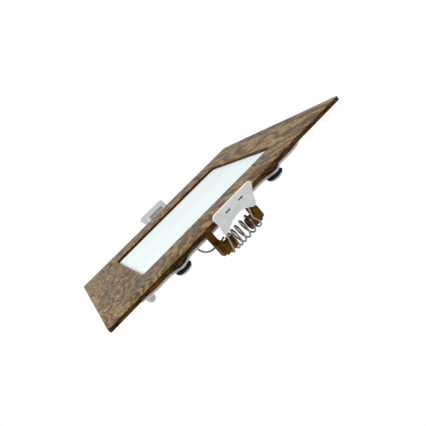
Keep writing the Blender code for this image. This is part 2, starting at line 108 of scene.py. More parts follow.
# Clip, in its own frame: X along the hinge, the legs along +Z
CLIP_TILT = math.radians(37.0)
WIRE_R = 0.45 * MM
COIL_R = 4.35 * MM
COIL_RIGHT = 9.35 * MM
COIL_TURNS = 5.5
COIL_PITCH = 4.25 * MM
COIL_TIGHTENING = 0.25 * MM
COIL_STEPS = 48  # points in one turn
EYE_TURN = math.radians(200.0)
EYE_R = 3.95 * MM
LEFT_LEG_X = -9.0 * MM
RIGHT_LEG_X = 6.2 * MM
LEG_BEND_Z = 9.0 * MM
CROSSBAR_Z = 24.2 * MM
CROSSBAR_BEND = 2.0 * MM
PADDLE_OUTER = 5.6 * MM
PADDLE_THICKNESS = 0.9 * MM
PADDLE_FOOT_Z = 14.0 * MM
PADDLE_TOP_Z = 28.7 * MM
PADDLE_CORNER = 2.4 * MM
PADDLE_TOP_HALF = 11.8 * MM
PADDLE_WAIST_HALF = 10.25 * MM
PADDLE_TAPER = 0.05
ARCH_HALF = 8.0 * MM
ARCH_TOP_Z = 18.5 * MM
SLOT_X = 3.95 * MM
SLOT_SIZE = (2.8 * MM, 3.0 * MM, 1.2 * MM)
TAIL_RUN_Y = 60.5 * MM
TAIL_RUN_Z = -10.6 * MM
TAIL_HOLE_X = -19.1 * MM
TAIL_HOLE_Y = 57.6 * MM
TAIL_LOOP_R = 4.8 * MM

# Rear cover
COVER_ROUND = 0.9 * MM
RIB_COUNT = 9
RIB_PITCH = 9.5 * MM
RIB_SIZE = (92.0 * MM, 1.4 * MM, 0.8 * MM)
CROSS_RIB_PITCH = 30.0 * MM

# Stage
FLOOR_Z = -0.4
ROOM_LIGHT = 0.5

# Screws
HEAD_R = 3.9 * MM
HEAD_HEIGHT = 1.6 * MM
SHANK_R = 1.7 * MM
RECESS_DEPTH = 1.0 * MM


# ---------------------------------------------------------------- node trees

class Signal:
    """One output in a node tree. Arithmetic on it adds Math nodes."""

    def __init__(self, graph, socket):
        self.graph = graph
        self.socket = socket

    def maths(self, operation, first, second):
        return self.graph.add("ShaderNodeMath", {"operation": operation}, {0: first, 1: second})

    def __add__(self, other):
        return self.maths("ADD", self, other)

    def __sub__(self, other):
        return self.maths("SUBTRACT", self, other)

    def __rsub__(self, other):
        return self.maths("SUBTRACT", other, self)

    def __mul__(self, other):
        return self.maths("MULTIPLY", self, other)

    __radd__ = __add__
    __rmul__ = __mul__


class Graph:
    """Adds nodes to one tree, with their settings, and the values or links of their sockets."""

    def __init__(self, tree):
        self.tree = tree

    def add(self, kind, settings=None, sockets=None, output=0):
        node = self.tree.nodes.new(kind)
        for name, value in (settings or {}).items():
            if name == "stops":
                self.set_stops(node.color_ramp, value)
            else:
                setattr(node, name, value)
        for key, value in (sockets or {}).items():
            if isinstance(value, Signal):
                self.tree.links.new(value.socket, node.inputs[key])
            else:
                node.inputs[key].default_value = value
        return Signal(self, node.outputs[output]) if len(node.outputs) else None

    def set_stops(self, ramp, stops):
        while len(ramp.elements) < len(stops):
            ramp.elements.new(1.0)
        for element, (place, colour) in zip(ramp.elements, stops):
            element.position = place
            element.color = (*colour, 1.0)


class Finish(Graph):
    """A material. Its patterns are worked out in millimetres of the row frame."""

    def __init__(self, name, **shader_values):
        self.material = bpy.data.materials.new(name)
        self.material.use_nodes = True
        super().__init__(self.material.node_tree)
        self.shader = self.tree.nodes["Principled BSDF"]
        for key, value in shader_values.items():
            self.shader.inputs[key.replace("_", " ").title().replace("Ior", "IOR")].default_value = value
        place = self.add("ShaderNodeTexCoord", output=3)
        self.place = self.scaled(place, (1000.0, 1000.0, 1000.0))

    def scaled(self, vector, factors):
        return self.add("ShaderNodeVectorMath", {"operation": "MULTIPLY"}, {0: vector, 1: factors})

    def axes(self, vector):
        """The X, Y and Z of a vector."""
        parts = self.add("ShaderNodeSeparateXYZ", None, {0: vector})
        return [Signal(self, output) for output in parts.socket.node.outputs]

    def noise(self, factors, detail=3.0, roughness=0.5, distortion=0.0, vector=None):
        """Noise with a grain of about 1 / factor millimetres along each axis."""
        sockets = {"Vector": self.scaled(vector or self.place, factors), "Scale": 1.0, "Detail": detail,
                   "Roughness": roughness, "Distortion": distortion}
        return self.add("ShaderNodeTexNoise", {"normalize": True}, sockets)

    def between(self, value, low, high, to_low=0.0, to_high=1.0):
        """Maps value from low..high to to_low..to_high, smoothly and clamped."""
        sockets = {"Value": value, "From Min": low, "From Max": high, "To Min": to_low, "To Max": to_high}
        return self.add("ShaderNodeMapRange", {"interpolation_type": "SMOOTHSTEP"}, sockets)

    def mix(self, factor, first, second):
        """Mixes two colours."""
        pair = [value if isinstance(value, Signal) else (*value, 1.0) for value in (first, second)]
        sockets = {0: factor, 6: pair[0], 7: pair[1]}
        return self.add("ShaderNodeMix", {"data_type": "RGBA"}, sockets, output=2)

    def sine(self, value, period):
        return self.add("ShaderNodeMath", {"operation": "SINE"}, {0: value * (2.0 * math.pi / period)})

    def bump(self, height, strength, distance):
        """distance is in millimetres."""
        sockets = {"Strength": strength, "Distance": distance * MM, "Height": height}
        return self.add("ShaderNodeBump", None, sockets)

    def feed(self, **signals):
        for key, signal in signals.items():
            self.tree.links.new(signal.socket, self.shader.inputs[key.replace("_", " ")])
        return self.material


def wood_film():
    """Printed wood-grain film: a swirling figure, growth lines and short pores, with dark cut edges streaked with
    painted highlights.
    """
    finish = Finish("wood_film", specular_ior_level=0.12)
    across, along, up = finish.axes(finish.place)
    burl = finish.between(across, 40.0, -45.0)
    sweep = finish.noise((0.03, 0.022, 0.03), 2.0, 0.45)
    ripple = finish.noise((0.16, 0.07, 0.1), 3.0, 0.6)
    growth = across * 0.11 + sweep * (5.0 + 9.0 * burl) + ripple * (1.3 + 1.4 * burl)
    rings = 0.5 + 0.5 * finish.sine(growth, 1.0)
    patches = finish.noise((0.13, 0.07, 0.1), 3.0, 0.6, 0.9)
    grain = finish.noise((1.0, 0.55, 0.6), 3.0, 0.75, 1.4)
    tight = finish.add("ShaderNodeTexWave", {"bands_direction": "X"},
                       {"Vector": finish.scaled(finish.place, (0.13, 0.012, 0.1)), "Scale": 1.0,
                        "Distortion": 7.0, "Detail": 3.0, "Detail Scale": 1.3,
                        "Detail Roughness": 0.6}, output=1)
    pores = finish.noise((1.5, 0.8, 1.0), 2.0, 0.65, 1.0)
    tone = 0.2 * rings + 0.24 * patches + 0.76 * grain + (0.10 - 0.08 * burl) * (tight - 0.62)
    stops = [(0.48, (0.070, 0.043, 0.018)), (0.56, (0.175, 0.112, 0.051)), (0.64, (0.285, 0.187, 0.086)),
             (0.73, (0.420, 0.278, 0.128))]
    wood = finish.add("ShaderNodeValToRGB", {"stops": stops}, {"Fac": tone})
    cool = finish.noise((0.07, 0.045, 0.05), 2.0, 0.5, 0.6)
    wood = finish.mix(finish.between(cool, 0.50, 0.64, 0.0, 0.55), wood, (0.135, 0.105, 0.068))
    wood = finish.mix(finish.between(cool, 0.46, 0.34, 0.0, 0.35), wood, (0.285, 0.160, 0.072))
    pore_mask = finish.between(pores, 0.52, 0.62, 0.0, 0.8)
    wood = finish.mix(pore_mask, wood, (0.050, 0.029, 0.014))
    cut_edge = finish.between(up, FACE_Z / MM - 0.20, FACE_Z / MM - 0.05, 1.0, 0.0)
    # The cut edges are dark, with streaks of painted highlight in a warmer brown.
    highlight_streak = finish.noise((0.35, 0.35, 3.0), 3.0, 0.6)
    edge = finish.mix(finish.between(highlight_streak, 0.42, 0.66), DARK_EDGE, PAINTED_EDGE_HIGHLIGHT)
    colour = finish.mix(cut_edge, wood, edge)
    roughness = finish.between(grain, 0.3, 0.7, 0.5, 0.36)
    relief = finish.bump(tone - 0.6 * pore_mask, 0.35, 0.08)
    return finish.feed(Base_Color=colour, Roughness=roughness, Normal=relief)


def brown_plastic():
    """Brown moulded plastic, darker round the bezel's rim and inside its window, the rim streaked with painted
    highlights.
    """
    finish = Finish("brown_plastic", specular_ior_level=0.12)
    across, along, up = finish.axes(finish.place)
    flow = finish.noise((0.09, 0.05, 0.2), 3.0, 0.55, 0.8)
    grain = finish.noise((2.6, 2.6, 2.6), 2.0, 0.6)
    body_tone = finish.between(flow + 0.1 * grain, 0.4, 0.7)
    body = finish.mix(body_tone, (0.095, 0.036, 0.0010), (0.165, 0.068, 0.0022))
    # The rim is dark, with streaks of painted highlight in a warmer brown.
    highlight_streak = finish.noise((0.22, 0.22, 2.2), 3.0, 0.6)
    edge = finish.mix(finish.between(highlight_streak, 0.42, 0.64), DARK_EDGE, PAINTED_EDGE_HIGHLIGHT)
    size = across.maths("ABSOLUTE", across, 0.0).maths("MAXIMUM", across.maths("ABSOLUTE", across, 0.0),
                                                       along.maths("ABSOLUTE", along, 0.0))
    on_plate = finish.between(up, -0.12, -0.02)
    rim = finish.between(size, BEZEL_HALF / MM - 0.5, BEZEL_HALF / MM - 0.1) * on_plate
    well = finish.between(size, WINDOW_HALF / MM + 0.3, WINDOW_HALF / MM + 0.1) * on_plate
    colour = finish.mix(well, finish.mix(rim, body, edge), DARK_EDGE)
    rough = finish.between(grain, 0.3, 0.7, 0.32, 0.46)
    return finish.feed(Base_Color=colour, Roughness=rough, Normal=finish.bump(grain, 0.25, 0.05))


def moulded(name, colour, streak_colour, roughness):
    """Moulded plastic: slow flow variation, a fine spark texture, and a little dust in the finish."""
    finish = Finish(name)
    flow = finish.noise((0.09, 0.05, 0.2), 3.0, 0.55, 0.8)
    grain = finish.noise((3.2, 3.2, 3.2), 2.0, 0.6)
    mixed = finish.mix(finish.between(flow + 0.08 * grain, 0.35, 0.7), colour, streak_colour)
    rough = finish.between(grain, 0.3, 0.7, roughness - 0.06, roughness + 0.08)
    return finish.feed(Base_Color=mixed, Roughness=rough, Normal=finish.bump(grain, 0.25, 0.05))


def opal_sheet():
    """Opal diffusing acrylic, a touch cyan, with a matt micro texture."""
    finish = Finish("opal_acrylic", ior=1.49)
    cloud = finish.noise((0.02, 0.03, 0.02), 2.0)
    mist = finish.mix(finish.between(cloud, 0.35, 0.65), (0.79, 0.89, 0.885), (0.84, 0.93, 0.925))
    prism = finish.noise((5.0, 5.0, 5.0), 1.0)
    rough = finish.between(prism, 0.3, 0.7, 0.3, 0.42)
    return finish.feed(Base_Color=mist, Roughness=rough, Normal=finish.bump(prism, 0.12, 0.02))


def nylon():
    """Natural nylon: milky, slightly greenish grey, with faint flow marks. Painted shade makes it greyer toward
    the far clip.
    """
    finish = Finish("nylon", ior=1.53)
    flow = finish.noise((0.16, 0.16, 0.12), 3.0, 0.6, 1.2)
    fine = finish.noise((1.1, 1.1, 1.1), 2.0, 0.5)
    tint_and_painted_shade = finish.mix(finish.between(flow, 0.38, 0.64), (0.76, 0.80, 0.775), (0.87, 0.895, 0.875))
    along = finish.axes(finish.place)[1]
    # Painted shade: greyer toward the far clip, along +Y.
    tint_and_painted_shade = finish.mix(finish.between(along, 0.0, 60.0), tint_and_painted_shade, (0.50, 0.53, 0.54))
    rough = finish.between(fine, 0.3, 0.7, 0.3, 0.46)
    return finish.feed(Base_Color=tint_and_painted_shade, Roughness=rough, Normal=finish.bump(fine, 0.3, 0.05))


def spring_steel():
    """Oiled spring wire: dark, with bright streaks that are painted highlights, and brown tints."""
    finish = Finish("spring_steel", metallic=1.0)
    drawn_marks_and_highlights = finish.noise((0.5, 2.4, 2.4), 4.0, 0.7)
    heat = finish.noise((0.25, 0.25, 0.25), 2.0)
    # The bright streaks are painted highlights; the same noise also sets the roughness and the bump.
    steel = finish.mix(finish.between(drawn_marks_and_highlights, 0.35, 0.68), (0.07, 0.064, 0.058), (0.74, 0.68, 0.58))
    steel = finish.mix(finish.between(heat, 0.5, 0.68, 0.0, 0.45), steel, (0.36, 0.27, 0.17))
    rough = finish.between(drawn_marks_and_highlights, 0.3, 0.7, 0.42, 0.24)
    return finish.feed(Base_Color=steel, Roughness=rough, Normal=finish.bump(drawn_marks_and_highlights, 0.2, 0.03))


def plated(name, dark, light, roughness):
    """Plated metal with turning marks round Z and faint wear."""
    finish = Finish(name, metallic=1.0)
    turning = finish.noise((1.2, 1.2, 9.0), 3.0, 0.6)
    wear = finish.noise((0.6, 0.6, 0.6), 3.0)
    metal = finish.mix(finish.between(wear, 0.35, 0.65), dark, light)
    rough = finish.between(turning, 0.3, 0.7, roughness - 0.07, roughness + 0.1)
    return finish.feed(Base_Color=metal, Roughness=rough, Normal=finish.bump(turning, 0.15, 0.03))


def rubber():
    """Black rubber with a matt bloom."""
    finish = Finish("black_rubber", specular_ior_level=0.2)
    bloom = finish.noise((0.7, 0.7, 0.7), 4.0, 0.65)
    black = finish.mix(finish.between(bloom, 0.4, 0.7), (0.006, 0.0075, 0.011), (0.022, 0.026, 0.034))
    rough = finish.between(bloom, 0.3, 0.7, 0.45, 0.66)
    return finish.feed(Base_Color=black, Roughness=rough, Normal=finish.bump(bloom, 0.3, 0.06))


def light_guide():
    """Clear acrylic with its grid of printed white dots."""
    finish = Finish("clear_acrylic", ior=1.49, coat_weight=0.4)
    across, along = finish.axes(finish.place)[:2]
    waves = finish.sine(across, 1.6) * finish.sine(along, 1.6)
    dots = finish.between(waves, 0.55, 0.75)
    colour = finish.mix(dots, (0.72, 0.80, 0.80), (0.93, 0.94, 0.93))
    rough = finish.between(waves, 0.4, 0.8, 0.08, 0.5)
    return finish.feed(Base_Color=colour, Roughness=rough)


def led_board():
    """White solder mask with copper tracks along the strip."""
    finish = Finish("led_board")
    along = finish.axes(finish.place)[1]
    tracks = finish.between(finish.sine(along, 1.2), 0.75, 0.9)
    fine = finish.noise((2.0, 2.0, 2.0), 2.0)
    white = finish.mix(finish.between(fine, 0.3, 0.7), (0.80, 0.80, 0.76), (0.88, 0.88, 0.85))
    colour = finish.mix(tracks, white, (0.55, 0.42, 0.26))
    return finish.feed(Base_Color=colour, Roughness=finish.between(fine, 0.3, 0.7, 0.4, 0.55))


def led_package():
    """Phosphor gel in a white package."""
    finish = Finish("led_package")
    gel = finish.between(finish.noise((1.5, 1.5, 1.5), 2.0), 0.35, 0.6)
    colour = finish.mix(gel, (0.86, 0.66, 0.16), (0.92, 0.80, 0.34))
    return finish.feed(Base_Color=colour, Roughness=finish.between(gel, 0.0, 1.0, 0.25, 0.45))


# ---------------------------------------------------------------- geometry trees

def new_tree(name, inputs):
    """A Geometry Nodes tree with a geometry input, named number inputs and a geometry output."""
    tree = bpy.data.node_groups.new(name, "GeometryNodeTree")
    tree.interface.new_socket("Geometry", in_out="INPUT", socket_type="NodeSocketGeometry")
    for label, kind in inputs.items():
        tree.interface.new_socket(label, in_out="INPUT", socket_type=kind)
    tree.interface.new_socket("Geometry", in_out="OUTPUT", socket_type="NodeSocketGeometry")
    graph = Graph(tree)
    group_input = tree.nodes.new("NodeGroupInput")
    given = {socket.name: Signal(graph, socket) for socket in group_input.outputs if socket.name}
    return graph, given


def finish_tree(graph, geometry, given):
    """Ends a tree in Realize Instances and Set Material."""
    whole = graph.add("GeometryNodeRealizeInstances", None, {"Geometry": geometry})
    coated = graph.add("GeometryNodeSetMaterial", None, {"Geometry": whole, "Material": given["Finish"]})
    graph.add("NodeGroupOutput", None, {"Geometry": coated})
    return graph.tree


def wire_tree():
    """Sweeps a round wire along a path, with closed ends."""
    graph, given = new_tree("swept_wire", {"Radius": "NodeSocketFloat", "Sides": "NodeSocketInt",
                                           "Finish": "NodeSocketMaterial"})
    section = graph.add("GeometryNodeCurvePrimitiveCircle", None,
                        {"Resolution": given["Sides"], "Radius": given["Radius"]})
    tube = graph.add("GeometryNodeCurveToMesh", None,
                     {"Curve": given["Geometry"], "Profile Curve": section, "Fill Caps": True})
    smooth = graph.add("GeometryNodeSetShadeSmooth", None, {"Geometry": tube})
    return finish_tree(graph, smooth, given)


def corners_tree():
    """Copies a piece to the four corners of a rectangle, each turned a little further than the last."""
    inputs = {"Spacing X": "NodeSocketFloat", "Spacing Y": "NodeSocketFloat", "Turn": "NodeSocketFloat",
              "Finish": "NodeSocketMaterial"}
    graph, given = new_tree("at_four_corners", inputs)
    sockets = {"Size X": given["Spacing X"], "Size Y": given["Spacing Y"], "Vertices X": 2, "Vertices Y": 2}
    grid = graph.add("GeometryNodeMeshGrid", None, sockets)
    number = graph.add("GeometryNodeInputIndex")
    turn = graph.add("ShaderNodeCombineXYZ", None, {"Z": number * given["Turn"]})
    copies = graph.add("GeometryNodeInstanceOnPoints", None,
                       {"Points": grid, "Instance": given["Geometry"], "Rotation": turn})
    return finish_tree(graph, copies, given)


def row_tree():
    """Copies a piece along a straight row centred on the piece's own place."""
    graph, given = new_tree("in_a_row", {"Count": "NodeSocketInt", "Start": "NodeSocketVector",
                                         "Step": "NodeSocketVector", "Finish": "NodeSocketMaterial"})
    row = graph.add("GeometryNodeMeshLine", {"mode": "OFFSET"},
                    {"Count": given["Count"], "Start Location": given["Start"], "Offset": given["Step"]})
    copies = graph.add("GeometryNodeInstanceOnPoints", None, {"Points": row, "Instance": given["Geometry"]})
    return finish_tree(graph, copies, given)


def grown(host, tree, **values):
    """Runs a tree on an object and keeps its result as that name's plain mesh object."""
    modifier = host.modifiers.new(tree.name, "NODES")
    modifier.node_group = tree
    for item in tree.interface.items_tree:
        label = item.name.replace(" ", "_").lower()
        if item.in_out == "INPUT" and label in values:
            modifier[item.identifier] = values[label]
    return baked(host)


# ---------------------------------------------------------------- mesh helpers

def add_object(name, data):
    made = bpy.data.objects.new(name, data)
    bpy.context.scene.collection.objects.link(made)
    return made


def from_bmesh(name, bm):
    bmesh.ops.remove_doubles(bm, verts=bm.verts, dist=1e-7)
    bmesh.ops.recalc_face_normals(bm, faces=bm.faces)
    mesh = bpy.data.meshes.new(name)
    bm.to_mesh(mesh)
    bm.free()
    return add_object(name, mesh)


def baked(host):
    """The object with its modifiers made real, as a mesh at the origin."""
    bpy.context.view_layer.update()
    evaluated = host.evaluated_get(bpy.context.evaluated_depsgraph_get())
    mesh = bpy.data.meshes.new_from_object(evaluated)
    mesh.transform(host.matrix_world)
    name = host.name
    bpy.data.objects.remove(host)
    mesh.name = name
    return add_object(name, mesh)


def combined(base, tools, operation):
    """A Boolean with each tool in turn. The tools are used up."""
    for tool in tools:
        modifier = base.modifiers.new(tool.name, "BOOLEAN")
        modifier.operation = operation
        modifier.object = tool
    result = baked(base)
    for tool in tools:
        bpy.data.objects.remove(tool)
    return result


def moved(piece, matrix):
    piece.data.transform(matrix)
    return piece


def shaded(piece, angle=35.0):
    piece.data.shade_smooth()
    piece.data.set_sharp_from_angle(angle=math.radians(angle))
    return piece


def coated(piece, material):
    piece.data.materials.clear()
    piece.data.materials.append(material)
    return piece


def placed(piece, body, slot, *nodes):
    """Parents a finished piece to the body it rides on and hides the frame's pieces that it stands for. The finish
    slot it is given is not used.
    """
    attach(piece, body)
    if nodes:
        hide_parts(*nodes)
    return piece


def loft(name, loops, ring=False):
    """Quads between successive loops of points. A ring joins its last loop to its first; others get ends."""
    bm = bmesh.new()
    made = [[bm.verts.new(point) for point in loop] for loop in loops]
    pairs = list(zip(made, made[1:]))
    if ring:
        pairs.append((made[-1], made[0]))
    for lower, upper in pairs:
        for index in range(len(lower)):
            following = (index + 1) % len(lower)
            bm.faces.new((lower[index], lower[following], upper[following], upper[index]))
    if not ring:
        bm.faces.new(made[0][::-1])
        bm.faces.new(made[-1])
    return from_bmesh(name, bm)


def lathe(name, profile, segments=48):
    """Turns a (radius, height) profile about Z. A profile that starts off the axis closes on itself."""
    bm = bmesh.new()
    verts = [bm.verts.new((radius, 0.0, height)) for radius, height in profile]
    edges = [bm.edges.new(pair) for pair in zip(verts, verts[1:])]
    if profile[0][0] > 0.0:
        edges.append(bm.edges.new((verts[-1], verts[0])))
    bmesh.ops.spin(bm, geom=verts + edges, cent=(0, 0, 0), axis=(0, 0, 1), angle=2.0 * math.pi,
                   steps=segments, use_merge=True)
    return shaded(from_bmesh(name, bm))


def slab(name, outline, low, high, rounding, segments=3):
    """A plate with this outline between two heights, with all its sharp edges rounded."""
    bm = bmesh.new()
    bottom = [bm.verts.new((point.x, point.y, low)) for point in outline]
    top = [bm.verts.new((point.x, point.y, high)) for point in outline]
    for index in range(len(outline)):
        following = (index + 1) % len(outline)
        bm.faces.new((bottom[index], bottom[following], top[following], top[index]))
    bm.faces.new(bottom[::-1])
    bm.faces.new(top)
    bmesh.ops.recalc_face_normals(bm, faces=bm.faces)
    sharp = [edge for edge in bm.edges if edge.calc_face_angle() > math.radians(40.0)]
    bmesh.ops.bevel(bm, geom=sharp, offset=rounding, segments=segments, profile=0.5, affect="EDGES",
                    clamp_overlap=True)
    return from_bmesh(name, bm)


def block(name, centre, size, rounding):
    """A rounded block."""
    half_x, half_y = size[0] / 2.0, size[1] / 2.0
    corners = [Vector((sx * half_x, sy * half_y)) for sx, sy in ((-1, -1), (1, -1), (1, 1), (-1, 1))]
    piece = slab(name, corners, -size[2] / 2.0, size[2] / 2.0, rounding)
    return moved(piece, Matrix.Translation(centre))


def rounded_square(half, radius, steps=8):
    points = []
    for quarter in range(4):
        middle = math.radians(45.0 + 90.0 * quarter)
        inset = half - radius
        centre = Vector((math.copysign(inset, math.cos(middle)), math.copysign(inset, math.sin(middle))))
        for step in range(steps + 1):
            angle = math.radians(90.0 * quarter + 90.0 * step / steps)
            points.append(centre + radius * Vector((math.cos(angle), math.sin(angle))))
    return points


def at_height(points, height):
    return [Vector((point.x, point.y, height)) for point in points]


def resampled(points, count):
    """Points at even distances round a closed outline, from where it crosses the +X axis."""
    closed = points + points[:1]
    lengths = [0.0]
    for first, second in zip(closed, closed[1:]):
        lengths.append(lengths[-1] + (second - first).length)
    even = []
    segment = 0
    for index in range(count):
        target = lengths[-1] * index / count
        while lengths[segment + 1] < target:
            segment += 1
        span = lengths[segment + 1] - lengths[segment]
        part = (target - lengths[segment]) / span if span > 0.0 else 0.0
        even.append(closed[segment].lerp(closed[segment + 1], part))
    return even


def lobe_offset(x):
    """How far the housing's outline swells outward at x, on its two clip sides."""
    reach = abs(abs(x) - SCREW_X) / LOBE_HALF_LENGTH
    return LOBE_OUT * (0.5 + 0.5 * math.cos(math.pi * reach)) if reach < 1.0 else 0.0


def housing_outline(inset=0.0):
    """The housing's outline at an inset: a rounded square that swells round each cover screw."""
    even = resampled(rounded_square(HOUSING_HALF - inset, HOUSING_RADIUS - inset), OUTLINE_POINTS)
    flat = HOUSING_HALF - inset - 1e-6
    swollen = []
    for point in even:
        out = lobe_offset(point.x) if abs(point.y) > flat else 0.0
        swollen.append(Vector((point.x, point.y + math.copysign(out, point.y))))
    return swollen


def bore_outline():
    return resampled(rounded_square(BORE_HALF, BORE_RADIUS), OUTLINE_POINTS)


# ---------------------------------------------------------------- bezel and housing

def make_wood_face(material):
    """The face sheet, with softened outer and window edges and sides that close the gap to the plate."""
    low = PLATE_HIGH.z + 0.02 * MM
    soft = EDGE_ROUND
    sections = []
    for half, radius, height in (
        (BEZEL_HALF, 0.9 * MM, low),
        (BEZEL_HALF, 0.9 * MM, FACE_Z - soft),
        (BEZEL_HALF - 0.09 * MM, 0.85 * MM, FACE_Z - 0.12 * MM),
        (BEZEL_HALF - soft, 0.8 * MM, FACE_Z),
        (WINDOW_HALF + soft, WINDOW_RADIUS + soft, FACE_Z),
        (WINDOW_HALF + 0.09 * MM, WINDOW_RADIUS + 0.09 * MM, FACE_Z - 0.12 * MM),
        (WINDOW_HALF, WINDOW_RADIUS, FACE_Z - soft),
        (WINDOW_HALF, WINDOW_RADIUS, low),
    ):
        sections.append(at_height(rounded_square(half, radius), height))
    face = shaded(loft("wood_face", sections, ring=True), 50.0)
    placed(coated(face, material), "fixture", "wood_film", "face_sheet")


def make_bezel_body(material):
    """The moulded plate behind the face: its seat rim, and the land that stands back inside it."""
    land = BEZEL_HALF - SEAT_RIM
    top = PLATE_HIGH.z
    sections = []
    for half, radius, height in (
        (BEZEL_HALF - 0.25 * MM, 0.8 * MM, 0.0),
        (BEZEL_HALF - 0.06 * MM, 0.9 * MM, 0.08 * MM),
        (BEZEL_HALF, 0.9 * MM, 0.3 * MM),
        (BEZEL_HALF, 0.9 * MM, top),
        (WINDOW_HALF, WINDOW_RADIUS, top),
        (WINDOW_HALF, WINDOW_RADIUS, LAND_STEP),
        (land, 1.2 * MM, LAND_STEP),
        (land + 0.2 * MM, 1.4 * MM, 0.0),
    ):
        sections.append(at_height(rounded_square(half, radius), height))
    bezel = shaded(loft("bezel_body", sections, ring=True), 50.0)
    placed(coated(bezel, material), "fixture", "brown_plastic", "bezel_plate")


def arm_profile():
    """An arm's side view, as (distance out, height)."""
    top = RING_TOP - 0.15 * MM
    foot_low = RING_BOTTOM + 0.15 * MM
    foot_in = HOUSING_HALF - 1.5 * MM
    points = [(foot_in, foot_low), (ARM_REAR, foot_low), (ARM_REAR, ARM_END_Z)]
    for step in range(9):
        angle = math.radians(-90.0 + 90.0 * step / 8.0)
        points.append((ARM_LUG_FRONT + ARM_END_RADIUS * (math.cos(angle) - 1.0),
                       ARM_END_Z + ARM_END_RADIUS * (math.sin(angle) + 1.0)))
    for step in range(4):
        angle = math.radians(90.0 * step / 3.0)
        points.append((ARM_LUG_FRONT + ARM_LUG_RADIUS * (math.cos(angle) - 1.0),
                       ARM_LUG_TOP_Z + ARM_LUG_RADIUS * (math.sin(angle) - 1.0)))
    for step in range(4):
        angle = math.radians(-90.0 - 90.0 * step / 3.0)
        points.append((ARM_LEG_FRONT + ARM_FILLET * (math.cos(angle) + 1.0),
                       ARM_LUG_TOP_Z + ARM_FILLET * (math.sin(angle) + 1.0)))
    points += [(ARM_LEG_FRONT, top - 0.8 * MM), (ARM_LEG_FRONT - 0.8 * MM, top), (foot_in, top)]
    return [Vector(point) for point in points]


def make_arm(name, sign):
    """One bracket arm with its boss, in the bracket's own frame."""
    inner, outer = sign * ARM_INNER, sign * (ARM_INNER + ARM_WIDTH)
    arm = slab(name, arm_profile(), min(inner, outer), max(inner, outer), ARM_ROUND)
    side_view = Matrix(((0, 0, 1, 0), (-1, 0, 0, 0), (0, 1, 0, 0), (0, 0, 0, 1)))
    moved(arm, side_view)
    arm.data.flip_normals()
    root = ARM_WIDTH / 2.0
    length = BOSS_LENGTH + root
    dimple = length - 0.5 * MM
    boss = lathe(name + "_boss", [(0.0, 0.0), (BOSS_R, 0.0), (BOSS_R, dimple),
                                  (BOSS_R - 0.15 * MM, length - 0.15 * MM), (BOSS_R - 0.5 * MM, length),
                                  (1.5 * MM, length), (1.4 * MM, dimple), (0.0, dimple)])
    axis = Vector(near_joint()["pos_m"])
    lay_down = Matrix.Rotation(math.radians(-90.0 * sign), 4, "Y")
    to_arm = Matrix.Translation((inner + sign * root, axis.y, axis.z)) @ lay_down
    return combined(arm, [moved(boss, to_arm)], "UNION")


def near_joint():
    """The near clip's joint, which the clip's own frame is set out from."""
    return next(joint for joint in frame["joints"] if joint["pos_m"][1] < 0.0)


def half_turn(joint):
    return Matrix.Rotation(0.0 if joint["pos_m"][1] < 0.0 else math.pi, 4, "Z")


def make_housing(material):
    """The housing ring with its rounded edges, and the four bracket arms moulded on."""
    soft = 0.5 * MM
    loops = [
        at_height(housing_outline(0.4 * MM), RING_BOTTOM),
        at_height(housing_outline(0.1 * MM), RING_BOTTOM + 0.15 * MM),
        at_height(housing_outline(), RING_BOTTOM + soft),
        at_height(housing_outline(), RING_TOP - soft),
        at_height(housing_outline(0.15 * MM), RING_TOP),
        at_height(bore_outline(), RING_TOP),
        at_height(bore_outline(), RING_BOTTOM),
    ]
    ring = loft("housing_body", loops, ring=True)
    arms = []
    for joint in frame["joints"]:
        bracket = Matrix.Translation((joint["pos_m"][0], 0.0, 0.0)) @ half_turn(joint)
        for sign in (-1.0, 1.0):
            arms.append(moved(make_arm(f"arm_{joint['name']}_{sign:.0f}", sign), bracket))
    housing = shaded(combined(ring, arms, "UNION"), 38.0)
    placed(coated(housing, material), "fixture", "brown_plastic", "housing_ring")


